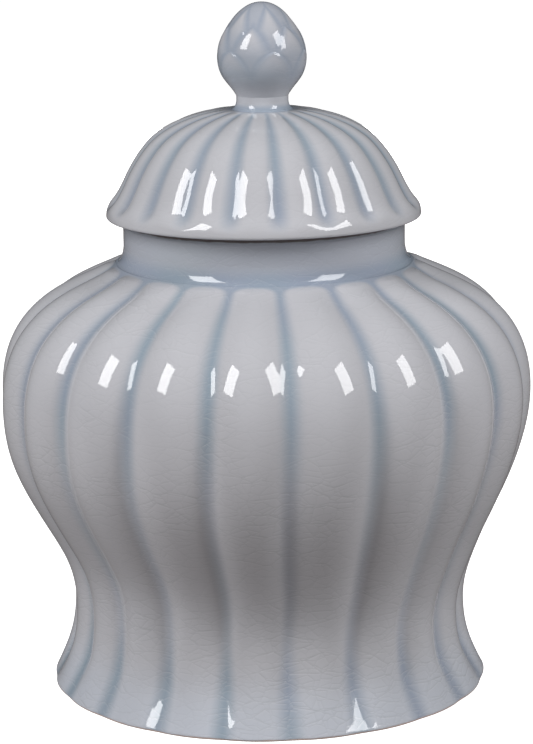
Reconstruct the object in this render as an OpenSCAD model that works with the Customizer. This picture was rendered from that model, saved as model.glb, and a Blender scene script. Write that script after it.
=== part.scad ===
// Lobed ginger jar in celadon glaze, with a domed lid and a bud finial.
// The axis is +Z, the jar stands on z = 0, and a lobe is centred on +X, -X, +Y and -Y.
// Clay sections that are joined before firing meet face to face.

/* [Jar body] */
// Number of lobes round the jar and round the lid
lobes = 20; // [16:4:24]
// Radius of the foot, over the lobe crests
foot_r = 99; // [95:0.5:102]
// Radius of the waist, over the lobe crests
waist_r = 89.1; // [86.5:0.2:92]
// Height of the waist
waist_z = 36.5; // [33:0.5:42]
// Radius of the belly, over the lobe crests
belly_r = 119.4; // [114:0.2:126]
// Height of the belly's widest ring
belly_z = 132.4; // [124:0.4:138]
// Height of the lobe crests where they end beside the neck
shoulder_z = 191.6; // [189:0.2:194]
// Depth of the jar's grooves, as a share of the radius
jar_groove = 0.037; // [0.02:0.001:0.045]
// Share of that depth which the grooves keep at the very bottom of the foot
foot_groove = 0.15; // [0.1:0.05:1]
// Share of that depth which the grooves keep where they end beside the neck
neck_groove = 0.45; // [0.3:0.05:1]
// Wall thickness at the bottom of a groove
wall = 5; // [4:0.5:6]

/* [Foot and floor] */
// Height of the bare clay foot ring
foot_ring_h = 5; // [4:0.5:6]
// Radius of the recess under the jar, and of the floor that closes it
recess_r = 84; // [82:0.5:85]
// Depth of the recess under the jar
recess_h = 7; // [6:0.5:8]
// Thickness of the floor
floor_h = 6; // [5:0.5:7]

/* [Neck] */
// Outer radius of the straight part of the neck
neck_r = 62.6; // [61:0.2:63.4]
// Wall thickness of the neck
neck_wall = 5; // [4:0.5:5]
// Height of the neck's flat rim, on which the lid rests
rim_z = 211; // [208:0.5:214]
// Height of the fillet at the root of the neck
neck_fillet = 7.5; // [5:0.5:8]

/* [Lid] */
// Greatest radius of the lid, at its lip
lid_r = 70; // [69:0.1:72]
// Height of the lid's flat crown, under the finial
crown_z = 258.2; // [256:0.2:261]
// Depth of the lid's grooves, as a share of the radius
lid_groove = 0.025; // [0.01:0.001:0.03]
// Thickness of the dome at the bottom of a groove
dome_wall = 5; // [4:0.5:5.5]
// Depth of the locating flange that drops into the neck
flange_h = 16; // [12:1:20]
// Clearance between the flange and the inside of the neck, all round
flange_gap = 2.1; // [1.5:0.1:2.5]
// Thickness of the flange
flange_wall = 5.5; // [4:0.5:6]

/* [Finial] */
// Radius of the collar under the bud
collar_r = 11.5; // [11:0.1:12.5]
// Height of the collar
collar_h = 6; // [5:0.5:7]
// Greatest radius of the bud
bud_r = 19.8; // [18:0.2:21]
// Height of the top of the bud
top_z = 305; // [300:1:310]
// Petals in each tier of the bud
petals = 6; // [5:1:7]

/* [Hidden] */

// Glaze and clay colours
glaze = [0.70, 0.72, 0.75];
lid_glaze = [0.73, 0.75, 0.78];
pooled_glaze = [0.58, 0.63, 0.69];
bud_glaze = [0.62, 0.66, 0.71];
bare_clay = [0.76, 0.68, 0.60];

// Points round a lobed ring, and round exact turned shapes
facets_per_lobe = 6;
around = lobes * facets_per_lobe;
bud_around = petals * 8;
turned_fn = 96;

// Where a lobe's round crest gives way to the hollow of the groove, from 0 on the crest to 1
lobe_edge = 0.76;
// How square the lobes' tips are at the neck, and how long the tips are
tip_power = 3;
tip_length = 5;

// The shoulder leans this far from level where it ends, and the foot this far from upright
shoulder_slope = 35;
foot_lean = 26;

// The grooves reach their full depth at this height above the foot, and this far out from the neck
full_groove_z = 18;
neck_fade = 12;

// The lobes end on this radius. The bottoms of the grooves and tips meet the neck a little lower.
shoulder_r = neck_r + 4.2;
shoulder_groove = jar_groove * shoulder_r * neck_groove;
joint_r = shoulder_r - shoulder_groove * sin(shoulder_slope);
joint_z = shoulder_z - shoulder_groove * cos(shoulder_slope);

// Radii and heights where other sections meet
neck_bore_r = neck_r - neck_wall;
floor_top = recess_h + floor_h;
foot_top_r = foot_r - foot_ring_h * tan(foot_lean);
flange_r = neck_bore_r - flange_gap;
flange_bore_r = flange_r - flange_wall;
seat_h = 5;
crown_r = collar_r + 2.4;
collar_root_h = 4.2;

// Roundings of the lid's lip, the foot and the neck's rim
lip_edge = 1.2;
foot_edge = 1.2;
rim_edge = 1.6;

// A cubic curve, and the points along it with the last one left out
function bezier(p, t) =
    pow(1 - t, 3) * p[0] + 3 * t * pow(1 - t, 2) * p[1]
    + 3 * t * t * (1 - t) * p[2] + pow(t, 3) * p[3];
function curve(p, steps) = [for (i = [0 : steps - 1]) bezier(p, i / steps)];

// The jar's S-shaped side from the foot to the shoulder, through the waist and the belly.
// Each handle is a share of the rise or reach of its own stretch.
function jar_side(foot, waist, belly, shoulder, steps) =
    let (rise = waist[1] - foot[1])
    let (swell = belly[1] - waist[1])
    let (fall = shoulder[1] - belly[1])
    let (reach = belly[0] - shoulder[0])
    let (foot_pull = 0.3 * rise * [-sin(foot_lean), cos(foot_lean)])
    let (shoulder_pull = 0.284 * reach * [cos(shoulder_slope), -sin(shoulder_slope)])
    concat(
        curve([foot, foot + foot_pull, waist - [0, 0.445 * rise], waist], steps[0]),
        curve([waist, waist + [0, 0.337 * swell], belly - [0, 0.46 * swell], belly], steps[1]),
        curve([belly, belly + [0, 0.771 * fall], shoulder + shoulder_pull, shoulder], steps[2])
    );

// The lid's side: a small round at the lip, a flare above it, a steeper flank and a round shoulder
function lid_side(steps) =
    let (lip = [lid_r, rim_z + lip_edge])
    let (flare = [lid_r - 3.3, rim_z + 8.6])
    let (flank = [lid_r - 8.4, rim_z + 17.6])
    let (brow = [lid_r - 19.4, rim_z + 34])
    let (crown = [crown_r, crown_z])
    concat(
        [[lid_r - lip_edge, rim_z], [lid_r - lip_edge * 0.3, rim_z + lip_edge * 0.3]],
        curve([lip, lip + [0, 3.4], flare + [1.9, -2.3], flare], steps[0]),
        curve([flare, flare + [-1.8, 2.2], flank + [1.25, -2.7], flank], steps[1]),
        curve([flank, flank + [-2, 4.1], brow + [5.4, -5.6], brow], steps[2]),
        curve([brow, brow + [-7.6, 7.8], crown + [13.6, 0], crown], steps[3]),
        [crown]
    );

// How far a direction is from a lobe's crest: 0 on the crest, 1 in the groove
function from_crest(angle) = abs(((angle * lobes / 360 + 0.5) % 1) - 0.5) * 2;

// Outward direction of a profile at one of its points, in the radius and height plane
function outward(profile, i) =
    let (ahead = profile[min(i + 1, len(profile) - 1)])
    let (behind = profile[max(i - 1, 0)])
    let (along = ahead - behind)
    [along[1], -along[0]] / norm(along);

// Shape of a groove across a lobe, from 0 on the crest to 1 in the middle of the groove
function groove_section(u) = u < lobe_edge ? u * u / lobe_edge : 1 - pow(1 - u, 2) / (1 - lobe_edge);

// A groove's depth in a direction. The tip is 0 along a lobe and 1 at its rounded end.
function groove(angle, tip) =
    let (off = pow(pow(from_crest(angle), tip_power) + pow(tip, tip_power), 1 / tip_power))
    groove_section(min(1, off));

// One ring of a lobed skin. Below the belly the grooves go straight in, so that the foot stays flat.
function lobed_ring(at, direction, depth, tip) =
    [for (i = [0 : around - 1])
        let (angle = i * 360 / around)
        let (p = at - direction * depth * groove(angle, tip))
        [p[0] * cos(angle), p[0] * sin(angle), p[1]]];

// A closed solid from stacked rings that have the same number of points
module stacked(rings) {
    count = len(rings[0]);
    last = len(rings) - 1;
    points = [for (ring = rings) for (p = ring) p];
    sides = [for (k = [0 : last - 1]) for (i = [0 : count - 1])
        let (j = (i + 1) % count)
        let (low = k * count)
        let (high = low + count)
        each [[low + i, high + i, high + j], [low + i, high + j, low + j]]];
    bottom = [for (i = [0 : count - 1]) i];
    top = [for (i = [count - 1 : -1 : 0]) last * count + i];
    polyhedron(points = points, faces = concat([bottom], sides, [top]), convexity = 6);
}

module turned(outline) {
    rotate_extrude($fn = turned_fn) polygon(outline);
}

// Depth of the jar's grooves at a point of its profile: shallower down at the foot and up at the neck
function jar_depth(p) =
    let (low = foot_groove + (1 - foot_groove) * p[1] / full_groove_z)
    let (high = p[1] > belly_z ? neck_groove + (1 - neck_groove) * (p[0] - shoulder_r) / neck_fade : 1)
    jar_groove * p[0] * min(1, low, high);

// Outer skin of the jar, above the foot ring, filled in
module jar_outside() {
    side = jar_side([foot_r, 0], [waist_r, waist_z], [belly_r, belly_z], [shoulder_r, shoulder_z], [4, 8, 14]);
    above = [for (p = side) if (p[1] > foot_ring_h + 1) p];
    profile = concat([[foot_top_r, foot_ring_h]], above);
    skin = [for (i = [0 : len(profile) - 1])
        let (p = profile[i])
        let (upper = p[1] > belly_z)
        let (direction = upper ? outward(profile, i) : [1, 0])
        let (tip = upper ? max(0, 1 - (p[0] - shoulder_r) / tip_length) : 0)
        lobed_ring(p, direction, jar_depth(p), tip)];
    stacked(concat(skin, [lobed_ring([joint_r, joint_z], [1, 0], 0, 0)]));
}

// The space inside the jar, from the floor up through the shoulder
module jar_hollow() {
    inset = 1 - jar_groove;
    bore_low_z = joint_z - wall;
    side = jar_side(
        [recess_r, floor_top],
        [waist_r * inset - wall, waist_z],
        [belly_r * inset - wall, belly_z],
        [neck_bore_r, bore_low_z],
        [4, 8, 10]
    );
    turned(concat(
        [[0, floor_top]],
        side,
        [[neck_bore_r, bore_low_z], [neck_bore_r, joint_z + 1], [0, joint_z + 1]]
    ));
    translate([0, 0, foot_ring_h - 1]) cylinder(r = recess_r, h = floor_top - foot_ring_h + 1, $fn = turned_fn);
}

module jar_body() {
    color(glaze)
    difference() {
        jar_outside();
        jar_hollow();
    }
}

// Straight neck with a fillet at its root and a flat rim with rounded edges
module neck_collar() {
    fillet = [for (a = [0 : 15 : 75])
        [joint_r - (joint_r - neck_r) * sin(a) / sin(75), joint_z + neck_fillet * (1 - cos(a)) / (1 - cos(75))]];
    rim = [for (a = [0 : 30 : 90]) rim_edge * [1 - cos(a), sin(a) - 1]];
    color(pooled_glaze)
    turned(concat(
        [[neck_bore_r, joint_z]],
        fillet,
        [for (p = rim) [neck_r - p[0], rim_z + p[1]]],
        [for (i = [len(rim) - 1 : -1 : 0]) [neck_bore_r + rim[i][0], rim_z + rim[i][1]]]
    ));
}

module base_floor() {
    color(glaze)
    translate([0, 0, recess_h]) cylinder(r = recess_r, h = floor_h, $fn = turned_fn);
}

// Standing ring, lobed like the wall above it, with a rounded outer edge
module foot_ring() {
    profile = [
        [foot_r - foot_edge, 0],
        [foot_r - foot_edge * 0.5, foot_edge * 0.15],
        [foot_r - foot_edge * 0.35, foot_edge * 0.7],
        [foot_top_r, foot_ring_h]
    ];
    color(bare_clay)
    difference() {
        stacked([for (p = profile) lobed_ring(p, [1, 0], jar_depth(p), 0)]);
        translate([0, 0, -1]) cylinder(r = recess_r, h = foot_ring_h + 2, $fn = turned_fn);
    }
}

// Outer skin of the dome, filled in. Its grooves fade out at the lip and at the crown.
module dome_outside(profile) {
    flute_low = rim_z + 2.5;
    flute_high = crown_r + 1;
    stacked([for (i = [0 : len(profile) - 1])
        let (p = profile[i])
        let (at_lip = min(1, max(0, (p[1] - flute_low) / 6.5)))
        let (at_crown = min(1, max(0, (p[0] - flute_high) / 10)))
        lobed_ring(p, outward(profile, i), lid_groove * p[0] * at_lip * at_crown, 0)]);
}

// The space under the dome: the bore of the seat and the hollow above it, at an even wall
module dome_hollow(profile) {
    seat_top = rim_z + seat_h;
    hollow_top = crown_z - dome_wall;
    inner = [for (i = [2 : len(profile) - 2])
        let (p = profile[i] - outward(profile, i) * (dome_wall + lid_groove * profile[i][0]))
        if (p[1] > seat_top + 1 && p[1] < hollow_top) p];
    turned(concat(
        [[0, rim_z - 1], [flange_bore_r, rim_z - 1], [flange_bore_r, seat_top], [inner[0][0], seat_top]],
        inner,
        [[crown_r, hollow_top], [0, hollow_top]]
    ));
}

module lid_dome() {
    profile = lid_side([2, 3, 3, 7]);
    color(lid_glaze)
    difference() {
        dome_outside(profile);
        dome_hollow(profile);
    }
}

// Ring under the dome that centres the lid in the neck
module lid_flange() {
    color(bare_clay)
    turned([
        [flange_bore_r, rim_z - flange_h], [flange_r - rim_edge, rim_z - flange_h],
        [flange_r, rim_z - flange_h + rim_edge], [flange_r, rim_z], [flange_bore_r, rim_z]
    ]);
}

// Waisted collar between the crown of the dome and the bud
module finial_collar() {
    flare = crown_r - collar_r;
    color(bud_glaze)
    turned(concat(
        [[0, crown_z]],
        [for (a = [0 : 22.5 : 90]) [collar_r + flare * (1 - sin(a)), crown_z + collar_root_h * (1 - cos(a))]],
        [[collar_r, crown_z + collar_h], [0, crown_z + collar_h]]
    ));
}

// Tiers of petals, from the lowest: height of the tips as a share of the bud, and turn about the axis
bud_low_z = crown_z + collar_h;
bud_h = top_z - bud_low_z;
petal_turn = -71.5;
tiers = [[0.50, 0], [0.77, 0.5], [0.96, 1]];
petal_depth = 0.9;

// The bud's smooth outline: a full lower half and a round top
function bud_side(steps) =
    let (widest = [bud_r, bud_low_z + 0.45 * bud_h])
    let (top = [0.6, top_z])
    concat(
        curve([[collar_r, bud_low_z], [collar_r + 3.8, bud_low_z + 6.7], widest - [0, 11], widest], steps),
        curve([widest, widest + [0, 8.6], top + [9.7, 0], top], steps),
        [top]
    );

// A petal's half width at a height, as a share of the pitch: widest low down, pointed at its tip
function petal_half(height, tip) = height >= tip ? 0 : 0.56 * pow(1 - pow(height / tip, 2.4), 0.62);

// How far a direction is from the middle of its nearest petal in a tier, in pitches
function from_petal(angle, turn) = abs((((angle - petal_turn) * petals / 360 + turn + 10.5) % 1) - 0.5);

// Depth below the outermost petal: the lowest tier that covers the point decides it
function petal_level(angle, height, tier = 0) =
    tier == len(tiers) ? tier :
    let (half = petal_half(height, tiers[tier][0]))
    let (off = from_petal(angle, tiers[tier][1]))
    off < half ? tier + 0.6 * pow(off / half, 2) : petal_level(angle, height, tier + 1);

module finial_bud() {
    profile = bud_side(9);
    color(bud_glaze)
    stacked([for (p = profile)
        let (height = (p[1] - bud_low_z) / bud_h)
        let (relief = petal_depth * min(1, 6 * height) * min(1, 5 * (1 - height)))
        [for (i = [0 : bud_around - 1])
            let (angle = i * 360 / bud_around)
            let (r = p[0] - relief * petal_level(angle, height) / len(tiers))
            [r * cos(angle), r * sin(angle), p[1]]]]);
}

jar_body();
neck_collar();
base_floor();
foot_ring();
lid_dome();
lid_flange();
finial_collar();
finial_bud();
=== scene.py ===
import math
import random

import bpy
import numpy as np
from mathutils import Matrix, Vector


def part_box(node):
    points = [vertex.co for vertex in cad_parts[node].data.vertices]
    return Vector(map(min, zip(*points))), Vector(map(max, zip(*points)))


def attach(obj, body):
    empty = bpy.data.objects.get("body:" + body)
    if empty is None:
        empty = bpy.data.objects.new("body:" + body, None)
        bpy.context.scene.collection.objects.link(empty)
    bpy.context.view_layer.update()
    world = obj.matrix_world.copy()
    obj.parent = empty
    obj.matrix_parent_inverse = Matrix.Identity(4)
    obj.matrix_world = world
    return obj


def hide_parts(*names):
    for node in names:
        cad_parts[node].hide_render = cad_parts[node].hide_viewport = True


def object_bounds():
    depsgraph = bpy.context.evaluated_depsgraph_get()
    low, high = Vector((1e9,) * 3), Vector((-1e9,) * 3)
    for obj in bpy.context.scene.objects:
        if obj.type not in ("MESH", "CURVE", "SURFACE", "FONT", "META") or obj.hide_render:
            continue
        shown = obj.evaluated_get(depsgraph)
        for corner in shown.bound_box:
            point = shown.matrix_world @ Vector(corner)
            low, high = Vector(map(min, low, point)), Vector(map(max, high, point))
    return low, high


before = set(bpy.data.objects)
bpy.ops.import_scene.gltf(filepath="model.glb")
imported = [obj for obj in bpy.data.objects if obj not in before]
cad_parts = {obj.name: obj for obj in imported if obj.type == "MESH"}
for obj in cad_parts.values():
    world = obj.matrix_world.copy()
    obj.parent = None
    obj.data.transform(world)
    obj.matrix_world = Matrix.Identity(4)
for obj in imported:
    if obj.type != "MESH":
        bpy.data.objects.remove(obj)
cad_low, cad_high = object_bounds()

# A lobed ginger jar in crackled celadon glaze. Lengths are in millimetres up to the last step of
# each mesh, which turns them into metres. Angles are in degrees.
MM = 0.001


def box_mm(node):
    """A CAD node's lowest and highest corner, in millimetres."""
    low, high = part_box(node)
    return np.array(low) / MM, np.array(high) / MM


# Heights and radii that the CAD frame gives
BELLY_R = box_mm("jar_body")[1][0]
RECESS_Z, FLOOR_Z = box_mm("base_floor")[0][2], box_mm("base_floor")[1][2]
RECESS_R = box_mm("base_floor")[1][0]
FOOT_RING_Z = box_mm("foot_ring")[1][2]
RIM_Z = box_mm("neck_collar")[1][2]
JOINT_R, JOINT_Z = box_mm("neck_collar")[1][0], box_mm("neck_collar")[0][2]
LID_R = box_mm("lid_dome")[1][0]
CROWN_Z = box_mm("lid_dome")[1][2]
FLANGE_R, FLANGE_LOW_Z = box_mm("lid_flange")[1][0], box_mm("lid_flange")[0][2]
CROWN_R = box_mm("finial_collar")[1][0]
BUD_LOW_Z, BUD_TOP_Z = box_mm("finial_bud")[0][2], box_mm("finial_bud")[1][2]

# The rest of the outline, as in the CAD design
LOBES = 20
FOOT_R = 99.0
FOOT_EDGE = 1.2
WAIST_R, WAIST_Z = 89.1, 36.5
BELLY_Z = 132.4
SHOULDER_R, SHOULDER_Z = 66.8, 191.6
JAR_GROOVE = 0.037
NECK_R = 62.6
NECK_BORE_R = 57.6
NECK_FILLET = 7.5
RIM_EDGE = 1.6
GLAZE_ROLL_Z = 207.9
WALL = 5.0
LID_GROOVE = 0.025
LID_WALL = 5.0
LIP_EDGE = 1.2
FLUTES_FADE = (2.5, 9.0)
SEAT_H = 5.0
FLANGE_BORE_R = 50.0
COLLAR_R = 11.5
COLLAR_ROOT = 4.2
BUD_R = 19.8
PETALS = 6
PETAL_WIDTH = 21.0
PETAL_TURN = -71.5
# Where a lobe's round crest gives way to the hollow of the groove, from 0 on the crest to 1
LOBE_EDGE = 0.76
# How square the lobes' tips are at the neck, and how long the tips are
TIP_POWER = 3
TIP_LENGTH = 5.0
# The shoulder leans this far from level where it ends, and the foot this far from upright
SHOULDER_SLOPE = 35
FOOT_LEAN = 26
# The grooves are full deep from this height up, and from this far out from the neck
FULL_GROOVE_Z = 18.0
NECK_FADE = 12.0
# The shares of their depth that they keep at the very bottom and beside the neck
FOOT_GROOVE = 0.15
NECK_GROOVE = 0.45
# The grooves go in level below the belly and square to the wall above it, and turn over this height
BELLY_EASE = 8

# Faces that meet at more than this angle show an edge
SHARP_ANGLE = 50
# Half a lobe's columns of points, on its crest and in its groove, and where the two stretches meet
LOBE_COLUMNS = (8, 6)
LID_COLUMNS = (6, 5)
GROOVE_FROM = 0.72
# The last stretch of the jar's side, beside the neck, has finer rows, and so has the lid's lip
FINE_STRETCH = 10.0
LID_FINE_STRETCH = 12
# Steps round the floor and the finial's collar, round the flange and round the bud
TURNED_STEP = 2.5
FLANGE_STEP = 1.5
BUD_STEP = 1.25

# Handwork. A seed, and how far off a lobe's edge may be
JAR_LOBES_OFF = (11, 0.45)
LID_LOBES_OFF = (23, 0.5)
# A seed, how many slow waves add up to the ripple, and its height. The wall is set in to make room.
JAR_RIPPLE = (5, 8, 0.16)
JAR_SET_IN = 0.35
LID_RIPPLE = (17, 6, 0.08)
LID_SET_IN = 0.12
# How often a wave runs round the jar, and how far in radians it shifts over a millimetre of height
WAVE_TURNS = (1, 9)
WAVE_CLIMB = (0.01, 0.09)
# The jar's axis isn't quite true: the height of each stray, its spread and how far it goes along X
STRAYS = ((58, 14, 0.9), (104, 22, -1.0))

# Glaze that has gathered, from 0 to 1. It starts and ends this far from a lobe's crest, where the
# middle of the groove is 1.
POOL_MOST = 0.92
POOL_START = 0.64
POOL_END = 1.03
# Down at the foot it starts sooner, by up to this much
FOOT_POOL_Z = (0, 45)
FOOT_POOL_WIDER = 0.16
# Round the waist there is less of it, from the first pair of heights to the second
WAIST_POOL_LESS = 0.55
POOL_THINS_Z = (18, 45)
POOL_THICKENS_Z = (95, 150)
# On the lid, in the grooves and beside the finial's collar
LID_POOL_MOST = 0.95
LID_POOL_START = 0.38
CROWN_POOL = 0.75
# Inside the jar and the lid, in the corner round the floor and on the rest of the floor
INSIDE_POOL = 0.2
LID_INSIDE_POOL = 0.15
CORNER_POOL, CORNER_WIDTH = 0.8, 5
FLOOR_POOL = 0.25
# At the top of the neck's fillet and at the top of the finial's collar, below full
NECK_POOL_LESS = 0.5
COLLAR_POOL_LESS = 0.85


# ---------------------------------------------------------------- curves and profiles

def smooth(value, low, high):
    """0 below low, 1 above high, and an even ease between them."""
    t = np.clip((value - low) / (high - low), 0.0, 1.0)
    return t * t * (3 - 2 * t)


def tilt(degrees):
    """A unit step in the radius and height plane, that many degrees from outward."""
    return np.array([math.cos(math.radians(degrees)), math.sin(math.radians(degrees))])


def curve(p0, p1, p2, p3, count):
    """Points along a cubic curve, with the last one left out."""
    t = np.linspace(0, 1, count, endpoint=False)[:, None]
    p0, p1, p2, p3 = (np.asarray(p, float) for p in (p0, p1, p2, p3))
    return (1 - t) ** 3 * p0 + 3 * t * (1 - t) ** 2 * p1 + 3 * t * t * (1 - t) * p2 + t ** 3 * p3


def arc(centre, radius, start, end, count):
    """Points along an arc, both ends included."""
    turn = np.radians(np.linspace(start, end, count))
    return np.asarray(centre) + radius * np.column_stack([np.cos(turn), np.sin(turn)])


def line(start, end, count):
    """Points along a straight line, with the last one left out."""
    t = np.linspace(0, 1, count, endpoint=False)[:, None]
    return np.asarray(start, float) * (1 - t) + np.asarray(end, float) * t


def outward(profile):
    """Unit normal at each point of a profile that climbs, in the radius and height plane."""
    along = np.gradient(profile, axis=0)
    along /= np.linalg.norm(along, axis=1)[:, None]
    return np.column_stack([along[:, 1], -along[:, 0]])


def jar_side(foot, waist, belly, shoulder, counts):
    """The S-shaped side, from the foot through the waist and the belly to the shoulder."""
    foot, waist, belly, shoulder = (np.asarray(p, float) for p in (foot, waist, belly, shoulder))
    rise, swell, fall = waist[1] - foot[1], belly[1] - waist[1], shoulder[1] - belly[1]
    reach = belly[0] - shoulder[0]
    up = np.array([0.0, 1.0])
    foot_pull = 0.3 * rise * tilt(90 + FOOT_LEAN)
    shoulder_pull = 0.284 * reach * tilt(-SHOULDER_SLOPE)
    return np.concatenate([
        curve(foot, foot + foot_pull, waist - 0.445 * rise * up, waist, counts[0]),
        curve(waist, waist + 0.337 * swell * up, belly - 0.46 * swell * up, belly, counts[1]),
        curve(belly, belly + 0.771 * fall * up, shoulder + shoulder_pull, shoulder, counts[2]),
        [shoulder],
    ])


def respaced(profile, spacing):
    """The same profile with points at the arc lengths that spacing(total length) gives."""
    steps = np.linalg.norm(np.diff(profile, axis=0), axis=1)
    run = np.concatenate([[0], np.cumsum(steps)])
    at = spacing(run[-1])
    return np.column_stack([np.interp(at, run, profile[:, k]) for k in (0, 1)])


# ---------------------------------------------------------------- lobes

def lobe_angles(columns):
    """Directions of a ring's points: wider steps on the crests and finer ones in the grooves."""
    crest, hollow = columns
    half = np.concatenate([
        np.linspace(0, GROOVE_FROM, crest, endpoint=False),
        np.linspace(GROOVE_FROM, 1, hollow, endpoint=False),
    ])
    across = np.sort(np.concatenate([half, 2 - half[:0:-1], [1.0]]))
    pitch = 360 / LOBES
    return np.concatenate([(k + across / 2) * pitch for k in range(LOBES)])


def uneven(angles, seed, amount):
    """The same directions with each lobe's edges set off a little, as in handwork."""
    draw = random.Random(seed)
    offs = np.array([draw.uniform(-amount, amount) for _ in range(LOBES)])
    turn = (angles * LOBES / 360 - 0.5) % LOBES
    low = np.floor(turn).astype(int) % LOBES
    share = turn - np.floor(turn)
    return angles + offs[low] * (1 - share) + offs[(low + 1) % LOBES] * share


def from_crest(angles):
    """0 on a lobe's crest, 1 in the groove."""
    return np.abs(((angles * LOBES / 360 + 0.5) % 1) - 0.5) * 2


def groove_section(u):
    """Shape of a groove across a lobe: 0 on the crest, 1 in the middle of the groove."""
    return np.where(u < LOBE_EDGE, u * u / LOBE_EDGE, 1 - (1 - u) ** 2 / (1 - LOBE_EDGE))


def ripple(angles, heights, seed, waves, amount):
    """Slow seeded unevenness of a hand-finished surface, in millimetres."""
    draw = random.Random(seed)
    total = np.zeros((len(heights), len(angles)))
    for _ in range(waves):
        turns = draw.randint(*WAVE_TURNS)
        climb = draw.uniform(*WAVE_CLIMB)
        phase = draw.uniform(0, 2 * math.pi)
        total += np.sin(np.radians(angles)[None, :] * turns + heights[:, None] * climb + phase)
    return total * amount / math.sqrt(waves)


# ---------------------------------------------------------------- meshes

def grid_mesh(name, rings, pools, wrap, caps=(False, False)):
    """A closed mesh from rings with the same number of points.

    wrap joins the last ring to the first. Otherwise caps closes each end with a point on the axis.
    pools is how much glaze has gathered at each point, from 0 to 1.
    """
    count, around = rings.shape[0], rings.shape[1]
    points = rings.reshape(-1, 3)
    pool = pools.reshape(-1)
    index = np.arange(count * around).reshape(count, around)
    low = index if wrap else index[:-1]
    high = np.roll(index, -1, axis=0) if wrap else index[1:]
    quads = np.stack([low, np.roll(low, -1, 1), np.roll(high, -1, 1), high], axis=-1)
    faces = quads.reshape(-1, 4).tolist()
    for at_end, ring in zip(caps, (index[0], index[-1])):
        if not at_end:
            continue
        height = points[ring][:, 2].mean()
        points = np.vstack([points, [0, 0, height]])
        pool = np.append(pool, pool[ring].mean())
        pole = len(points) - 1
        after = np.roll(ring, -1)
        turn = (after, ring) if ring[0] == 0 else (ring, after)
        faces += [[int(a), int(b), pole] for a, b in zip(*turn)]
    mesh = bpy.data.meshes.new(name)
    mesh.from_pydata((points * MM).tolist(), [], faces)
    layer = mesh.attributes.new("pool", "FLOAT", "POINT")
    layer.data.foreach_set("value", np.clip(pool, 0, 1).astype(np.float32))
    mesh.shade_smooth()
    mesh.set_sharp_from_angle(angle=math.radians(SHARP_ANGLE))
    mesh.validate()
    piece = bpy.data.objects.new(name, mesh)
    bpy.context.scene.collection.objects.link(piece)
    return piece


def spun(profile, angles):
    """Rings of a plain turned surface."""
    turn = np.radians(angles)
    r, z = profile[:, 0][:, None], profile[:, 1][:, None]
    return np.stack([r * np.cos(turn), r * np.sin(turn), z + 0 * turn], axis=-1)


def lobed(profile, directions, depths, angles, shape):
    """Rings of a surface pushed in along directions by depths times the groove's shape."""
    turn = np.radians(angles)
    push = depths[:, None] * shape
    r = profile[:, 0][:, None] - directions[:, 0][:, None] * push
    z = profile[:, 1][:, None] - directions[:, 1][:, None] * push
    return np.stack([r * np.cos(turn), r * np.sin(turn), z], axis=-1)


def sway(rings):
    """Moves each point sideways by how far the jar's axis strays at its height."""
    z = rings[..., 2]
    moved = rings.copy()
    moved[..., 0] += sum(
        reach * np.exp(-((z - middle) / spread) ** 2) for middle, spread, reach in STRAYS)
    return moved


def widen(rings, extra):
    """Moves each point out from the axis by extra."""
    flat = rings[..., :2]
    r = np.linalg.norm(flat, axis=-1, keepdims=True)
    moved = rings.copy()
    moved[..., :2] = flat * (1 + extra[..., None] / r)
    return moved


def finish_piece(piece, body, node, material):
    """Gives a piece its material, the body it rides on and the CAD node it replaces."""
    piece.data.materials.append(material)
    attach(piece, body)
    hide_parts(node)


# ---------------------------------------------------------------- the jar

def jar_depth(profile):
    """Depth of the jar's grooves at each point of its profile: shallower at the foot and the neck."""
    r, z = profile[:, 0], profile[:, 1]
    low = FOOT_GROOVE + (1 - FOOT_GROOVE) * z / FULL_GROOVE_Z
    high = np.where(z > BELLY_Z, NECK_GROOVE + (1 - NECK_GROOVE) * (r - SHOULDER_R) / NECK_FADE, 1)
    return JAR_GROOVE * r * np.minimum(1, np.minimum(low, high))


def groove_pool(off, heights):
    """Glaze gathered in the grooves: wide bands at the foot, and thinner glaze round the waist."""
    at_foot = 1 - smooth(heights, *FOOT_POOL_Z)
    at_waist = smooth(heights, *POOL_THINS_Z) * (1 - smooth(heights, *POOL_THICKENS_Z))
    start = POOL_START - FOOT_POOL_WIDER * at_foot[:, None]
    share = 1 - WAIST_POOL_LESS * at_waist[:, None]
    return POOL_MOST * share * smooth(off, start, POOL_END)


def jar_outline():
    """The jar's side below and above the joint between the foot ring and the body."""
    side = jar_side([FOOT_R, 0], [WAIST_R, WAIST_Z], [BELLY_R, BELLY_Z], [SHOULDER_R, SHOULDER_Z],
                    (80, 160, 300))
    joint = [[np.interp(FOOT_RING_Z, side[:, 1], side[:, 0]), FOOT_RING_Z]]
    below, above = side[side[:, 1] < FOOT_RING_Z - 0.1], side[side[:, 1] > FOOT_RING_Z + 0.1]
    return np.vstack([below, joint]), np.vstack([joint, above])


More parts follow.
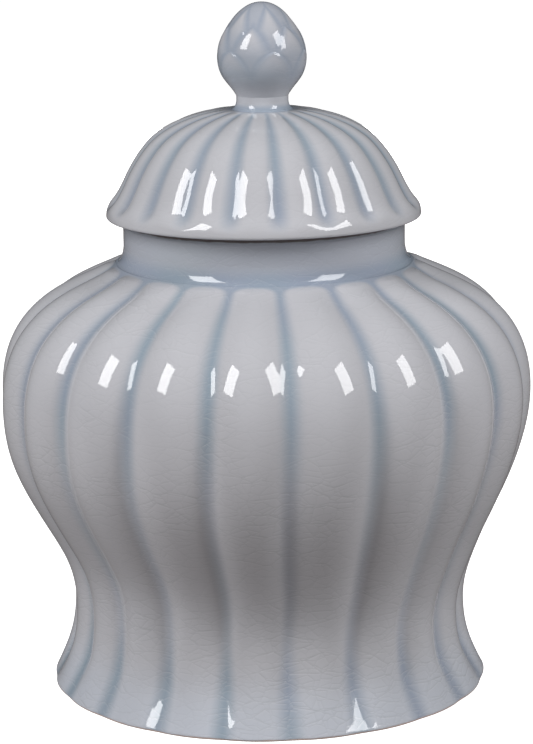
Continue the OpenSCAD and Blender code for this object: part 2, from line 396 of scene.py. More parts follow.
def make_jar_body():
    """The lobed wall from the foot ring to the neck, and the plain turned hollow inside it."""
    angles = lobe_angles(LOBE_COLUMNS)
    turned = uneven(angles, *JAR_LOBES_OFF)
    side = respaced(jar_outline()[1], lambda total: np.concatenate([
        np.linspace(0, total - FINE_STRETCH, 96, endpoint=False),
        np.linspace(total - FINE_STRETCH, total, 36)]))
    r, z = side[:, 0], side[:, 1]
    upper = smooth(z, BELLY_Z - BELLY_EASE, BELLY_Z + BELLY_EASE)[:, None]
    directions = outward(side) * upper + np.array([1.0, 0.0]) * (1 - upper)
    directions /= np.linalg.norm(directions, axis=1)[:, None]
    tip = np.where(z > BELLY_Z, np.maximum(0, 1 - (r - SHOULDER_R) / TIP_LENGTH), 0)
    off = (from_crest(angles)[None, :] ** TIP_POWER + tip[:, None] ** TIP_POWER) ** (1 / TIP_POWER)
    off = np.minimum(off, 1)
    outside = lobed(side, directions, jar_depth(side), turned, groove_section(off))
    rippled = smooth(z, FOOT_RING_Z, 25) * (1 - smooth(z, SHOULDER_Z - 25, SHOULDER_Z - 4))
    swell = ripple(turned, z, *JAR_RIPPLE) - JAR_SET_IN
    outside = widen(outside, swell * rippled[:, None])

    bore_low_z = JOINT_Z - WALL
    inset = 1 - JAR_GROOVE
    hollow = jar_side([RECESS_R, FLOOR_Z], [WAIST_R * inset - WALL, WAIST_Z],
                      [BELLY_R * inset - WALL, BELLY_Z], [NECK_BORE_R, bore_low_z], (6, 10, 12))
    hollow = np.vstack([line([NECK_BORE_R, JOINT_Z], [NECK_BORE_R, bore_low_z], 3), hollow[::-1],
                        [[RECESS_R, FOOT_RING_Z]]])
    rings = sway(np.concatenate([outside, spun(hollow, turned)]))
    pools = np.vstack([groove_pool(off, z), np.full((len(hollow), len(angles)), INSIDE_POOL)])
    return grid_mesh("glazed_jar_body", rings, pools, wrap=True)


def make_neck():
    """The straight neck, with a fillet at its root and a rim that the glaze has drawn back from."""
    angles = uneven(lobe_angles(LOBE_COLUMNS), *JAR_LOBES_OFF)
    turn = np.radians(np.linspace(0, 75, 26))
    fillet = np.column_stack([
        JOINT_R - (JOINT_R - NECK_R) * np.sin(turn) / np.sin(turn[-1]),
        JOINT_Z + NECK_FILLET * (1 - np.cos(turn)) / (1 - np.cos(turn[-1]))])
    roll = [NECK_R, GLAZE_ROLL_Z - 0.3]
    bare = np.array([NECK_R - 0.5, GLAZE_ROLL_Z + 0.9])
    straight = line(fillet[-1], roll, 14)[1:]
    rounded = curve(roll, [NECK_R, GLAZE_ROLL_Z + 0.2], bare - [0, 0.5], bare, 10)
    outer_edge = curve(bare, bare + [0, 0.8], [NECK_R - 1.3, RIM_Z], [NECK_R - 2.0, RIM_Z], 8)
    inner_edge = arc([NECK_BORE_R + RIM_EDGE, RIM_Z - RIM_EDGE], RIM_EDGE, 90, 180, 8)
    bore = line([NECK_BORE_R, RIM_Z - RIM_EDGE], [NECK_BORE_R, JOINT_Z], 12)[1:]
    profile = np.vstack([
        fillet, straight, rounded, outer_edge, inner_edge, bore, [[NECK_BORE_R, JOINT_Z]]])
    rings = spun(profile, angles)
    rise = profile[:, 1] - JOINT_Z
    above_root = 1 - NECK_POOL_LESS * smooth(rise, 1.5, NECK_FILLET + 1)
    pool = np.where(profile[:, 0] > NECK_BORE_R + 2, above_root, INSIDE_POOL)
    pools = np.repeat(pool[:, None], len(angles), axis=1)
    return grid_mesh("glazed_neck", rings, pools, wrap=True)


def throwing_rings(radii, height, wave):
    """Shallow rings that the potter's fingers leave on the floor. They fade out at its edge."""
    return height * np.sin(radii * wave) * smooth(RECESS_R - radii, 0, 6)


def make_floor():
    """The disc that closes the bottom, with glaze gathered in the corner all round it."""
    angles = np.arange(0, 360, TURNED_STEP)
    radii = np.linspace(RECESS_R, 2.0, 40)
    top = np.column_stack([radii, FLOOR_Z - 0.25 + throwing_rings(radii, 0.12, 1.1)])
    under = np.column_stack([radii, RECESS_Z + 0.12 + throwing_rings(radii, 0.1, 0.9)])
    profile = np.vstack([under[::-1], top])
    pool = np.where(profile[:, 0] > RECESS_R - CORNER_WIDTH, CORNER_POOL, FLOOR_POOL)
    pools = np.repeat(pool[:, None], len(angles), axis=1)
    return grid_mesh("glazed_floor", spun(profile, angles), pools, wrap=False, caps=(True, True))


def make_foot():
    """The standing ring, lobed like the wall above it, with a rounded outer edge."""
    angles = lobe_angles(LOBE_COLUMNS)
    turned = uneven(angles, *JAR_LOBES_OFF)
    side = respaced(jar_outline()[0], lambda total: np.linspace(0, total, 16))
    bevel = np.array([FOOT_R - FOOT_EDGE * 0.30, FOOT_EDGE * 0.30])
    edge = curve([FOOT_R - FOOT_EDGE, 0], [FOOT_R - FOOT_EDGE * 0.45, 0.0], bevel,
                 [np.interp(FOOT_EDGE, side[:, 1], side[:, 0]), FOOT_EDGE], 9)
    profile = np.vstack([edge, side[side[:, 1] >= FOOT_EDGE]])
    off = np.repeat(from_crest(angles)[None, :], len(profile), axis=0)
    level = np.repeat([[1.0, 0.0]], len(profile), axis=0)
    outside = lobed(profile, level, jar_depth(profile), turned, groove_section(off))
    under = np.vstack([line([RECESS_R, FOOT_RING_Z], [RECESS_R, 1.0], 5),
                       arc([RECESS_R + 1, 1.0], 1.0, 180, 270, 5),
                       line([RECESS_R + 1.5, 0], [FOOT_R - FOOT_EDGE - 5, 0], 6)])
    rings = np.concatenate([outside, spun(under, turned)])
    pools = np.vstack([groove_pool(off, profile[:, 1]), np.zeros((len(under), len(angles)))])
    return grid_mesh("clay_foot_ring", rings, pools, wrap=True)


# ---------------------------------------------------------------- the lid

def lid_outline():
    """The dome's side: a small round at the lip, a flare, a steeper flank and a round shoulder."""
    lip = np.array([LID_R, RIM_Z + LIP_EDGE])
    flare = np.array([LID_R - 3.3, RIM_Z + 8.6])
    flank = np.array([LID_R - 8.4, RIM_Z + 17.6])
    brow = np.array([LID_R - 19.4, RIM_Z + 34])
    crown = np.array([CROWN_R, CROWN_Z])
    return np.vstack([
        arc([LID_R - LIP_EDGE, RIM_Z + LIP_EDGE], LIP_EDGE, -90, 0, 16)[:-1],
        curve(lip, lip + [0, 3.4], flare + [1.9, -2.3], flare, 60),
        curve(flare, flare + [-1.8, 2.2], flank + [1.25, -2.7], flank, 60),
        curve(flank, flank + [-2, 4.1], brow + [5.4, -5.6], brow, 100),
        curve(brow, brow + [-7.6, 7.8], crown + [13.6, 0], crown, 140),
        [crown],
    ])


def make_lid_dome():
    """The lobed dome with a plain lip, and the hollow and the seat under it."""
    angles = lobe_angles(LID_COLUMNS)
    turned = uneven(angles, *LID_LOBES_OFF)
    side = respaced(lid_outline(), lambda total: np.concatenate([
        np.linspace(0, LID_FINE_STRETCH, 30, endpoint=False),
        np.linspace(LID_FINE_STRETCH, total, 84)]))
    r, z = side[:, 0], side[:, 1]
    at_lip = smooth(z, RIM_Z + FLUTES_FADE[0], RIM_Z + FLUTES_FADE[1])
    at_crown = smooth(r, CROWN_R + 1, CROWN_R + 12)
    depths = LID_GROOVE * r * at_lip * at_crown
    off = np.repeat(from_crest(angles)[None, :], len(side), axis=0)
    outside = lobed(side, outward(side), depths, turned, groove_section(off))
    swell = ripple(turned, z, *LID_RIPPLE) - LID_SET_IN
    rippled = smooth(r, CROWN_R + 2, CROWN_R + 20) * smooth(z, RIM_Z, RIM_Z + 3)
    outside = widen(outside, swell * rippled[:, None])
    ends = smooth(z, RIM_Z + 1, RIM_Z + 12) * smooth(r, CROWN_R, CROWN_R + 6)
    in_grooves = LID_POOL_MOST * smooth(off, LID_POOL_START, POOL_END) * ends[:, None]
    near_collar = 1 - smooth(r, CROWN_R, CROWN_R + 4)
    pools = np.maximum(in_grooves, CROWN_POOL * near_collar[:, None])

    seat_z = RIM_Z + SEAT_H
    coarse = respaced(lid_outline(), lambda total: np.linspace(0, total, 40))
    inner = coarse - outward(coarse) * (LID_WALL + LID_GROOVE * coarse[:, :1])
    inner = inner[(inner[:, 1] > seat_z + 1) & (inner[:, 1] < CROWN_Z - LID_WALL)]
    inner = inner[np.argsort(-inner[:, 1])]
    under = np.vstack([
        [[6.0, CROWN_Z - LID_WALL]], [[CROWN_R, CROWN_Z - LID_WALL]], inner,
        line([inner[-1, 0], seat_z], [FLANGE_BORE_R + 1, seat_z], 4),
        [[FLANGE_BORE_R, seat_z - 1]],
        line([FLANGE_BORE_R, RIM_Z], [r[0], RIM_Z], 6),
    ])
    rings = np.concatenate([spun(under, turned), outside])
    pools = np.vstack([np.full((len(under), len(angles)), LID_INSIDE_POOL), pools])
    return grid_mesh("glazed_lid_dome", rings, pools, wrap=False, caps=(True, True))


def make_flange():
    """The bare clay ring under the dome that drops into the neck."""
    angles = np.arange(0, 360, FLANGE_STEP)
    profile = np.vstack([
        line([FLANGE_BORE_R, RIM_Z], [FLANGE_BORE_R, FLANGE_LOW_Z + 1.2], 6),
        arc([FLANGE_BORE_R + 1.2, FLANGE_LOW_Z + 1.2], 1.2, 180, 270, 6),
        arc([FLANGE_R - 1.6, FLANGE_LOW_Z + 1.6], 1.6, -90, 0, 7),
        line([FLANGE_R, FLANGE_LOW_Z + 3], [FLANGE_R, RIM_Z], 8),
        [[FLANGE_R, RIM_Z]],
    ])
    rings = spun(profile, angles)
    return grid_mesh("clay_lid_flange", rings, np.zeros(rings.shape[:2]), wrap=True)


def make_collar():
    """The short waisted collar between the crown of the dome and the bud."""
    angles = np.arange(0, 360, TURNED_STEP)
    flare = CROWN_R - COLLAR_R
    turn = np.radians(np.linspace(0, 90, 12))
    root = np.column_stack([COLLAR_R + flare * (1 - np.sin(turn)),
                            CROWN_Z + COLLAR_ROOT * (1 - np.cos(turn))])
    profile = np.vstack([root, line([COLLAR_R, CROWN_Z + COLLAR_ROOT], [COLLAR_R, BUD_LOW_Z], 6)[1:],
                         [[COLLAR_R, BUD_LOW_Z]]])
    rise = (profile[:, 1] - CROWN_Z) / (BUD_LOW_Z - CROWN_Z)
    pool = 1.0 - COLLAR_POOL_LESS * smooth(rise, 0.15, 0.6)
    pools = np.repeat(pool[:, None], len(angles), axis=1)
    rings = spun(profile, angles)
    return grid_mesh("glazed_finial_collar", rings, pools, wrap=False, caps=(True, True))


def bud_outline():
    """The bud's smooth side: a full lower half and a round top."""
    height = BUD_TOP_Z - BUD_LOW_Z
    widest = np.array([BUD_R, BUD_LOW_Z + 0.45 * height])
    top = np.array([0.6, BUD_TOP_Z])
    low = np.array([COLLAR_R, BUD_LOW_Z])
    return np.vstack([
        curve(low, low + [3.8, 6.7], widest - [0, 11], widest, 120),
        curve(widest, widest + [0, 8.6], top + [9.7, 0], top, 160),
        [top],
    ])


# Each tier of petals: the height of its tips as a share of the bud, and its turn in petal pitches
TIERS = ((0.50, 0.0), (0.75, 0.5), (0.95, 1.0))
# A petal's greatest half width in pitches, and the powers that give its pointed outline
PETAL_HALF = 0.56
PETAL_POWERS = (2.4, 0.62)
# How far its middle stands above its edges, in tiers, and how deep the three tiers are together
PETAL_CROWN = 0.6
PETAL_RELIEF = 0.75
# How far in from a petal's edge its step rises, and how far in its glaze thins
PETAL_STEP = (-0.3, 2.2)
PETAL_SOFT = (-0.6, 5.0)
# Glaze on the bud: behind the petals, beside a petal's edge, and how far it reaches from the edge
BUD_POOL = 0.55
EDGE_POOL, EDGE_REACH = 0.85, 4.5
# Glaze low on a petal, at the tips of the lowest tier (the others have none there) and at the root
PETAL_POOL = 0.70
LOW_TIP_POOL = 0.28
ROOT_POOL = 0.15


def bud_petals(angles, heights):
    """Depth level and gathered glaze of the bud: each tier of petals stands a step above the next."""
    level = np.full((len(heights), len(angles)), float(len(TIERS)))
    pool = np.full(level.shape, BUD_POOL)
    climb, taper = PETAL_POWERS
    for tier in reversed(range(len(TIERS))):
        tip, turn = TIERS[tier]
        below_tip = (heights < tip)[:, None]
        inside = np.clip(heights / tip, 0, 1)
        half = PETAL_HALF * (1 - inside ** climb) ** taper
        off = np.abs(((angles - PETAL_TURN) * PETALS / 360 + turn + 10.5) % 1 - 0.5)
        edge = (half[:, None] - off[None, :]) * PETAL_WIDTH
        past_tip = np.maximum(0, (heights - tip)[:, None] * (BUD_TOP_Z - BUD_LOW_Z))
        outside = np.hypot(np.maximum(0, -edge), past_tip)
        cover = smooth(edge, *PETAL_STEP) * below_tip
        soft = smooth(edge, *PETAL_SOFT) * below_tip
        rise = tier + PETAL_CROWN * np.clip(off[None, :] / np.maximum(half[:, None], 0.02), 0, 1) ** 2
        pool = np.maximum(pool, EDGE_POOL * np.exp(-(outside / EDGE_REACH) ** 2))
        at_tip = LOW_TIP_POOL if tier == 0 else 0.0
        petal = at_tip + (PETAL_POOL - at_tip) * smooth(1 - inside, 0.05, 0.50)[:, None]
        pool = pool * (1 - soft) + petal * soft
        level = level * (1 - cover) + rise * cover
    return level, pool


def make_bud():
    """The bud, with its petals in relief."""
    angles = np.arange(0, 360, BUD_STEP)
    side = respaced(bud_outline(), lambda total: np.linspace(0, total, 170))
    heights = (side[:, 1] - BUD_LOW_Z) / (BUD_TOP_Z - BUD_LOW_Z)
    level, pool = bud_petals(angles, heights)
    relief = PETAL_RELIEF * np.minimum(1, 6 * heights) * np.minimum(1, 5 * (1 - heights))
    depth = relief[:, None] * level / len(TIERS)
    rings = lobed(side, np.repeat([[1.0, 0.0]], len(side), axis=0), np.ones(len(side)), angles, depth)
    pools = ROOT_POOL + (pool - ROOT_POOL) * smooth(heights, 0.02, 0.26)[:, None]
    return grid_mesh("glazed_finial_bud", rings, pools, wrap=False, caps=(True, True))


# ---------------------------------------------------------------- materials

class Shader:
    """One material, with short calls that add a node and give its output."""

    def __init__(self, name):
        self.material = bpy.data.materials.new(name)
        self.material.use_nodes = True
        self.tree = self.material.node_tree
        self.surface = self.tree.nodes["Principled BSDF"]

    def put(self, value, socket):
        """Links a socket, or sets a plain value."""
        if isinstance(value, bpy.types.NodeSocket):
            self.tree.links.new(value, socket)
        else:
            socket.default_value = value

    def math(self, operation, first, second=0.0):
        node = self.tree.nodes.new("ShaderNodeMath")
        node.operation = operation
        self.put(first, node.inputs[0])
        self.put(second, node.inputs[1])
        return node.outputs[0]

    def vector(self, operation, first, second=None, scale=None):
        node = self.tree.nodes.new("ShaderNodeVectorMath")
        node.operation = operation
        self.put(first, node.inputs[0])
        if second is not None:
            self.put(second, node.inputs[1])
        if scale is not None:
            self.put(scale, node.inputs["Scale"])
        return node.outputs["Value" if operation == "DOT_PRODUCT" else "Vector"]

    def noise(self, at, scale, detail, output=0):
        node = self.tree.nodes.new("ShaderNodeTexNoise")
        self.put(at, node.inputs["Vector"])
        node.inputs["Scale"].default_value = scale
        node.inputs["Detail"].default_value = detail
        return node.outputs[output]

    def fit(self, value, low, high, start=0.0, end=1.0, eased=True):
        """Maps low to high onto start to end, clamped."""
        node = self.tree.nodes.new("ShaderNodeMapRange")
        node.interpolation_type = "SMOOTHSTEP" if eased else "LINEAR"
        for k, setting in enumerate((value, low, high, start, end)):
            self.put(setting, node.inputs[k])
        return node.outputs[0]

    def mix(self, share, first, second):
        node = self.tree.nodes.new("ShaderNodeMix")
        node.data_type = "RGBA"
        self.put(share, node.inputs["Factor"])
        colours_in = [socket for socket in node.inputs if socket.type == "RGBA"]
        self.put(first, colours_in[0])
        self.put(second, colours_in[1])
        return next(socket for socket in node.outputs if socket.type == "RGBA")

    def point(self):
        return self.tree.nodes.new("ShaderNodeTexCoord").outputs["Object"]

    def normal(self):
        return self.tree.nodes.new("ShaderNodeNewGeometry").outputs["Normal"]

    def height(self, at):
        node = self.tree.nodes.new("ShaderNodeSeparateXYZ")
        self.put(at, node.inputs[0])
        return node.outputs["Z"]

    def attribute(self, name):
        node = self.tree.nodes.new("ShaderNodeAttribute")
        node.attribute_name = name
        return node.outputs["Fac"]

    def bump(self, height, distance, under=None):
        """The surface's normal with a relief that deep, on top of the one under it."""
        node = self.tree.nodes.new("ShaderNodeBump")
        node.inputs["Strength"].default_value = 1.0
        node.inputs["Distance"].default_value = distance
        self.put(height, node.inputs["Height"])
        if under is not None:
            self.put(under, node.inputs["Normal"])
        return node.outputs[0]


def rgb(red, green, blue):
    """A colour given as on a screen, from 0 to 255, turned into linear light."""
    def linear(value):
        value /= 255
        return value / 12.92 if value <= 0.04045 else ((value + 0.055) / 1.055) ** 2.4
    return (linear(red), linear(green), linear(blue), 1.0)


# The materials' lengths are in metres.
# Thin glaze on the crests, its tone at the foot and over what heights, and two of gathered glaze
CREST = rgb(187, 187, 192)
# The paler tone at the foot is partly a bluer glaze and partly painted light: the foot is coloured
# brighter, as if it were lit more.
FOOT_CREST_AND_PAINTED_LIGHT = rgb(188, 192, 201)
FOOT_PAINTED_LIGHT_Z = (0.004, 0.034)
POOLED = rgb(138, 153, 166)
VIOLET = rgb(142, 152, 169)
# A greyer tone that drifts over all of it, and its greatest share
DRIFT = rgb(176, 178, 182)
DRIFT_SHARE = 0.18
# How much the soft clouds add to the gathered glaze or take from it
CLOUDS = 0.22
GLAZE_IOR = 1.47
GLAZE_ROUGHNESS = (0.008, 0.024)
# Each net of the crackle: the width of its cells and of its lines. The cells are wider than tall, and
# the whole net is bent a little.
MAIN_NET = (0.0118, 0.00038)
SMALL_NET = (0.0064, 0.00030)
CRACK_FLAT = 1.9
CRACK_BEND = 0.0035
# The sides of a line, in line widths. The upper ones get painted light and the lower ones painted
# shade, as if each crack were lit from above.
CRACK_PAINTED_SIDES = 5
CRACK_COLOUR, CRACK_SHARE = rgb(110, 112, 116), 0.15
CRACK_PAINTED_LIGHT, CRACK_PAINTED_LIGHT_SHARE = rgb(216, 217, 221), 0.22
CRACK_PAINTED_SHADE, CRACK_PAINTED_SHADE_SHARE = rgb(118, 120, 126), 0.15
# The crackle is full below the first height and half as strong above the second
CRACKLE_Z = (0.110, 0.165)
# How much of the crackle the body, the lid, and the foot and neck show
CRAZE, LID_CRAZE, EDGE_CRAZE = 1.0, 0.55, 0.9
# Bare clay, light and dark, and its specks
FLANGE_CLAY = (rgb(186, 160, 146), rgb(166, 138, 124))
FOOT_CLAY = (rgb(206, 186, 178), rgb(190, 168, 158))
# The rim's bare clay is set much darker than the flange's: painted shade for the shadow under the
# lid's edge.
RIM_CLAY_AND_PAINTED_SHADE = (rgb(106, 99, 97), rgb(88, 82, 81))
SPECKS = rgb(110, 84, 70)
# Where the glaze ends on the foot and the rim, how much that line wavers, and how soft it is
FOOT_GLAZE_Z = 0.0007
RIM_GLAZE_Z = GLAZE_ROLL_Z * MM + 0.0008
GLAZE_WAVER = 0.0010
GLAZE_EDGE = 0.0003
# Depths of relief: the glaze's swell, dimples and cracks, its rolled edge, and the clay's grain
SWELL_DEPTH = 0.00006
DIMPLE_DEPTH = 0.0000015
CRACK_DEPTH = 0.00003
ROLL_DEPTH = 0.00012
GRAIN_DEPTH = 0.00006


def cracks(shader, at, cell, width, shift=None):
    """The hairlines of a net of cells of that size, strongest where they run level.

    The net is a 3-D one. Dividing by how squarely each wall meets the surface keeps its lines even.
    Gives the lines from 0 to 1, the painted light and shade on their sides from -1 to 1 by which way
    they face (light above, shade below), and cell colours.
    """
    squeeze = (1, 1, CRACK_FLAT)
    point = shader.vector("MULTIPLY", at, squeeze)
    if shift is not None:
        point = shader.vector("ADD", point, shift)
    ends = []
    for feature in ("F1", "F2"):
        node = shader.tree.nodes.new("ShaderNodeTexVoronoi")
        node.feature = feature
        node.inputs["Scale"].default_value = 1 / cell
        shader.put(point, node.inputs["Vector"])
        ends.append(node)
    nearest, second = (node.outputs["Position"] for node in ends)
    wall = shader.vector("NORMALIZE", shader.vector("SUBTRACT", second, nearest))
    middle = shader.vector("SCALE", shader.vector("ADD", second, nearest), scale=0.5)
    away = shader.vector("DOT_PRODUCT", shader.vector("SUBTRACT", middle, point), wall)
    facing = shader.vector("NORMALIZE", shader.vector("DIVIDE", shader.normal(), squeeze))
    lean = shader.vector("DOT_PRODUCT", wall, facing)
    square = shader.math("SUBTRACT", 1.0, shader.math("MULTIPLY", lean, lean))
    square = shader.math("SQRT", shader.math("MAXIMUM", square, 0.03))
    gap = shader.math("DIVIDE", away, square)
    upright = shader.vector("DOT_PRODUCT", wall, (0.0, 0.0, 1.0))
    level = shader.fit(shader.math("ABSOLUTE", upright), 0.2, 0.8, 0.4, 1.0)
    lines = shader.math("MULTIPLY", shader.fit(gap, 0.0, width, 1.0, 0.0), level)
    painted_sides = shader.math("MULTIPLY", shader.fit(gap, 0.0, CRACK_PAINTED_SIDES * width, 1.0, 0.0), upright)
    return lines, painted_sides, ends[0].outputs["Color"]


def glaze_colour(shader, at, craze):
    """Pale glaze that turns bluer where it gathers, with soft clouds and a fine crackle. The crest
    tone is painted lighter at the foot, and each crack has painted light above it and painted shade
    below it.
    """
    height = shader.height(at)
    clouds = shader.math("SUBTRACT", shader.noise(at, 22.0, 3.0), 0.5)
    pool = shader.math("ADD", shader.attribute("pool"), shader.math("MULTIPLY", clouds, CLOUDS))
    gathered = shader.mix(shader.fit(shader.noise(at, 16.0, 1.0), 0.38, 0.62), POOLED, VIOLET)
    # Crest colour, paler and bluer towards the foot: partly glaze tone and partly painted light
    crest = shader.mix(shader.fit(height, *FOOT_PAINTED_LIGHT_Z, 1.0, 0.0), CREST, FOOT_CREST_AND_PAINTED_LIGHT)
    colour = shader.mix(shader.fit(pool, 0.02, 1.0, eased=False), crest, gathered)
    drift = shader.fit(shader.noise(at, 9.0, 1.0), 0.35, 0.65, 0.0, DRIFT_SHARE)
    colour = shader.mix(drift, colour, DRIFT)

    bend = shader.vector("SUBTRACT", shader.noise(at, 50.0, 1.0, "Color"), (0.5, 0.5, 0.5))
    warped = shader.vector("ADD", at, shader.vector("SCALE", bend, scale=CRACK_BEND))
    main_net, main_painted_sides, cell_colour = cracks(shader, warped, *MAIN_NET)
    jump = shader.vector("SCALE", cell_colour, scale=0.5)
    small_net, small_painted_sides, _ = cracks(shader, warped, *SMALL_NET, jump)
    patch = shader.fit(shader.noise(at, 30.0, 1.0), 0.36, 0.64, 0.45 * craze, craze)
    patch = shader.math("MULTIPLY", patch, shader.fit(height, *CRACKLE_Z, 1.0, 0.5))
    net = shader.math("MULTIPLY", shader.math("MAXIMUM", main_net, small_net),
                      shader.math("MULTIPLY", patch, CRACK_SHARE))
    painted_sides = shader.math("MULTIPLY", shader.math("ADD", main_painted_sides, small_painted_sides), patch)
    # Painted light on the upper sides of the cracks and painted shade on their lower sides
    light = shader.math("MULTIPLY", shader.math("MAXIMUM", painted_sides, 0.0), CRACK_PAINTED_LIGHT_SHARE)
    dark = shader.math("MULTIPLY", shader.math("MINIMUM", painted_sides, 0.0), -CRACK_PAINTED_SHADE_SHARE)
    colour = shader.mix(light, colour, CRACK_PAINTED_LIGHT)
    colour = shader.mix(dark, colour, CRACK_PAINTED_SHADE)
    return shader.mix(net, colour, CRACK_COLOUR), net


def glaze_relief(shader, at, net):
    """The slow swell and fine dimples of fired glaze, and its sunken cracks."""
    swell = shader.bump(shader.noise(at, 40.0, 1.0), SWELL_DEPTH)
    dimples = shader.bump(shader.noise(at, 300.0, 1.0), DIMPLE_DEPTH, under=swell)
    return shader.bump(shader.math("SUBTRACT", 1.0, net), CRACK_DEPTH, under=dimples)


def glaze_material(name, craze):
    """Glossy celadon glaze, with craze as the strength of its crackle."""
    shader = Shader(name)
    at = shader.point()
    colour, net = glaze_colour(shader, at, craze)
    shader.put(colour, shader.surface.inputs["Base Color"])
    rough = shader.fit(shader.noise(at, 70.0, 3.0), 0.3, 0.7, *GLAZE_ROUGHNESS)
    shader.put(rough, shader.surface.inputs["Roughness"])
    shader.surface.inputs["IOR"].default_value = GLAZE_IOR
    shader.put(glaze_relief(shader, at, net), shader.surface.inputs["Normal"])
    return shader.material


def clay_body(shader, at, light, dark):
    """Fired clay with soft blotches and iron specks."""
    body = shader.mix(shader.noise(at, 140.0, 4.0), light, dark)
    specks = shader.fit(shader.noise(at, 900.0, 2.0), 0.66, 0.74)
    return shader.mix(shader.math("MULTIPLY", specks, 0.6), body, SPECKS)


def bare_clay_material(name):
    """Matte, grainy clay all over."""
    shader = Shader(name)
    at = shader.point()
    grain = shader.noise(at, 1600.0, 3.0)
    body = clay_body(shader, at, *FLANGE_CLAY)
    shader.put(body, shader.surface.inputs["Base Color"])
    shader.put(shader.fit(grain, 0.3, 0.7, 0.78, 0.92), shader.surface.inputs["Roughness"])
    shader.put(shader.bump(grain, GRAIN_DEPTH), shader.surface.inputs["Normal"])
    return shader.material


def glaze_edge_material(name, edge_z, glazed, clay):
    """Glaze that stops at a wavering line at a height. glazed is 0 or 1 below it and above it."""
    shader = Shader(name)
    at = shader.point()
    body = clay_body(shader, at, *clay)
    glaze, net = glaze_colour(shader, at, EDGE_CRAZE)
    waver = shader.math("SUBTRACT", shader.noise(at, 120.0, 3.0), 0.5)
    height = shader.math("ADD", shader.height(at), shader.math("MULTIPLY", waver, GLAZE_WAVER))
    skin = shader.fit(height, edge_z - GLAZE_EDGE, edge_z + GLAZE_EDGE, *glazed)
    shader.put(shader.mix(skin, body, glaze), shader.surface.inputs["Base Color"])
    shader.put(shader.fit(skin, 0.0, 1.0, 0.85, 0.02), shader.surface.inputs["Roughness"])
    shader.surface.inputs["IOR"].default_value = GLAZE_IOR
    roll = shader.bump(skin, ROLL_DEPTH, under=glaze_relief(shader, at, net))
    shader.put(roll, shader.surface.inputs["Normal"])
    return shader.material


# ---------------------------------------------------------------- camera, lights and floor

# The camera's distance from the axis and its height in metres, its turns in degrees, and its lens
CAMERA_AZIMUTH = 3.5
CAMERA_DISTANCE = 1.1519
CAMERA_HEIGHT = 0.3941
CAMERA_PITCH = 12.47
CAMERA_ROLL = -0.73
CAMERA_LENS = 126.8
CAMERA_SHIFT = 0.0009
WORLD_COLOUR = (0.93, 0.96, 1.0, 1.0)
WORLD_LEVEL = 0.05
# Name, (azimuth, elevation, distance), (width, height), power, whether the glaze shows its reflection
SOFTBOXES = (
    ("softbox_left", (-53, 38, 1.2), (0.42, 0.60), 9.5, True),
    ("softbox_right", (57, 38, 1.2), (0.42, 0.60), 8.1, True),
    ("low_left", (-60, 2, 2.0), (0.8, 0.8), 11.3, False),
    ("low_right", (60, 2, 2.0), (0.8, 0.8), 11.4, False),
    ("back_fill", (180, 2, 2.0), (0.8, 0.8), 15.0, False),
)
FLOOR_REACH = 12.0
FLOOR_ROUGHNESS = 0.9
FLOOR_TONES = (rgb(224, 224, 225), rgb(230, 230, 231))
FLOOR_GLOW = 1.0
# The darker floor that lights the jar from below, just under the one that the camera sees
BOUNCE_Z = -0.0005
FLOOR_BOUNCE = rgb(114, 106, 102)


def make_camera():
    """The camera, CAMERA_AZIMUTH round from -Y towards +X."""
    data = bpy.data.cameras.new("camera")
    data.lens = CAMERA_LENS
    data.dof.use_dof = False
    data.shift_x = CAMERA_SHIFT
    camera = bpy.data.objects.new("camera", data)
    bpy.context.scene.collection.objects.link(camera)
    turn = math.radians(CAMERA_AZIMUTH)
    camera.location = (CAMERA_DISTANCE * math.sin(turn), -CAMERA_DISTANCE * math.cos(turn),
                       CAMERA_HEIGHT)
    aim = Matrix.Rotation(turn, 4, "Z") @ Matrix.Rotation(math.radians(90 - CAMERA_PITCH), 4, "X")
    roll = Matrix.Rotation(math.radians(CAMERA_ROLL), 4, "Z")
    camera.matrix_world = Matrix.Translation(camera.location) @ aim @ roll
    bpy.context.scene.camera = camera


def softbox(name, azimuth, elevation, distance, width, height, power, shown):
    """A rectangular light that faces the jar's middle. Azimuth 0 is the camera's, + to its right."""
    data = bpy.data.lights.new(name, "AREA")
    data.shape = "RECTANGLE"
    data.size, data.size_y = width, height
    data.energy = power
    light = bpy.data.objects.new(name, data)
    bpy.context.scene.collection.objects.link(light)
    light.visible_glossy = shown
    turn, up = math.radians(azimuth + CAMERA_AZIMUTH), math.radians(elevation)
    centre = Vector((0, 0, (cad_low.z + cad_high.z) / 2))
    away = Vector((math.sin(turn) * math.cos(up), -math.cos(turn) * math.cos(up), math.sin(up)))
    light.location = centre + away * distance
    light.rotation_euler = (light.location - centre).to_track_quat("Z", "Y").to_euler()


def make_world():
    """A dim, even light from all round."""
    world = bpy.data.worlds.new("studio")
    world.use_nodes = True
    back = world.node_tree.nodes["Background"]
    back.inputs["Color"].default_value = WORLD_COLOUR
    back.inputs["Strength"].default_value = WORLD_LEVEL
    bpy.context.scene.world = world


def floor_plane(name, height, material):
    """A level square, marked as part of the stage."""
    reach = FLOOR_REACH
    mesh = bpy.data.meshes.new(name)
    corners = [(-reach, -reach, height), (reach, -reach, height), (reach, reach, height),
               (-reach, reach, height)]
    mesh.from_pydata(corners, [], [(0, 1, 2, 3)])
    mesh.materials.append(material)
    floor = bpy.data.objects.new(name, mesh)
    bpy.context.scene.collection.objects.link(floor)
    return floor


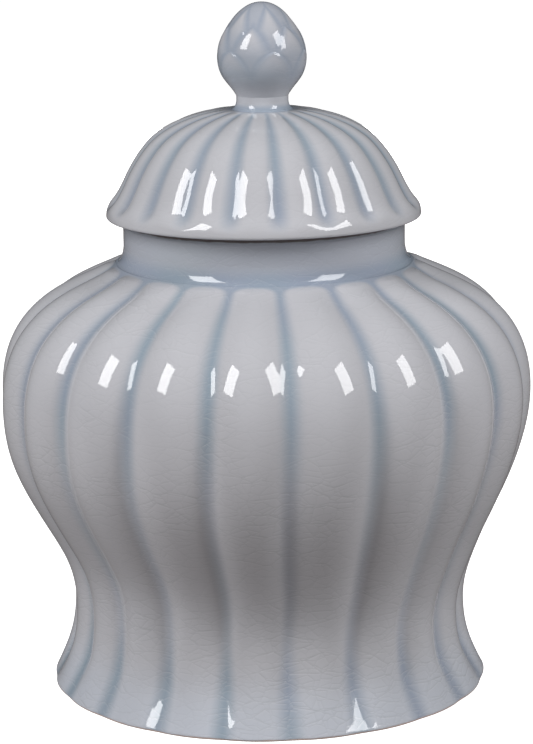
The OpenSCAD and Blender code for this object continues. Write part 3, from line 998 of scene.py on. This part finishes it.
def make_floors():
    """A pale floor that only the camera sees, and a darker one that only the jar sees."""
    pale = Shader("pale_floor")
    tone = pale.mix(pale.noise(pale.point(), 3.0, 2.0), *FLOOR_TONES)
    pale.put(tone, pale.surface.inputs["Base Color"])
    pale.surface.inputs["Roughness"].default_value = FLOOR_ROUGHNESS
    pale.surface.inputs["Emission Color"].default_value = rgb(255, 255, 255)
    pale.surface.inputs["Emission Strength"].default_value = FLOOR_GLOW
    seen = floor_plane("studio_floor", 0.0, pale.material)
    seen.visible_diffuse = False
    seen.visible_glossy = False
    seen.visible_shadow = False
    grey = Shader("grey_floor")
    grey.surface.inputs["Base Color"].default_value = FLOOR_BOUNCE
    grey.surface.inputs["Roughness"].default_value = FLOOR_ROUGHNESS
    under = floor_plane("bounce_floor", BOUNCE_Z, grey.material)
    under.visible_camera = False


# ---------------------------------------------------------------- assembly

def main():
    make_camera()
    make_floors()
    make_world()
    for name, (azimuth, elevation, distance), (width, height), power, shown in SOFTBOXES:
        softbox(name, azimuth, elevation, distance, width, height, power, shown)
    bpy.context.scene.view_settings.view_transform = "Standard"

    glaze = glaze_material("celadon_glaze", CRAZE)
    lid_glaze = glaze_material("celadon_glaze_lid", LID_CRAZE)
    foot_clay = glaze_edge_material("foot_clay_and_glaze", FOOT_GLAZE_Z, (0.0, 1.0), FOOT_CLAY)
    # The neck's bare rim gets the darkened clay, painted shade under the lid's edge
    rim_painted_shade_clay = glaze_edge_material("rim_painted_shade_and_glaze", RIM_GLAZE_Z, (1.0, 0.0), RIM_CLAY_AND_PAINTED_SHADE)
    bare = bare_clay_material("bare_clay")
    finish_piece(make_jar_body(), "jar", "jar_body", glaze)
    finish_piece(make_neck(), "jar", "neck_collar", rim_painted_shade_clay)
    finish_piece(make_floor(), "jar", "base_floor", glaze)
    finish_piece(make_foot(), "jar", "foot_ring", foot_clay)
    finish_piece(make_lid_dome(), "lid", "lid_dome", lid_glaze)
    finish_piece(make_flange(), "lid", "lid_flange", bare)
    finish_piece(make_collar(), "lid", "finial_collar", lid_glaze)
    finish_piece(make_bud(), "lid", "finial_bud", lid_glaze)


main()
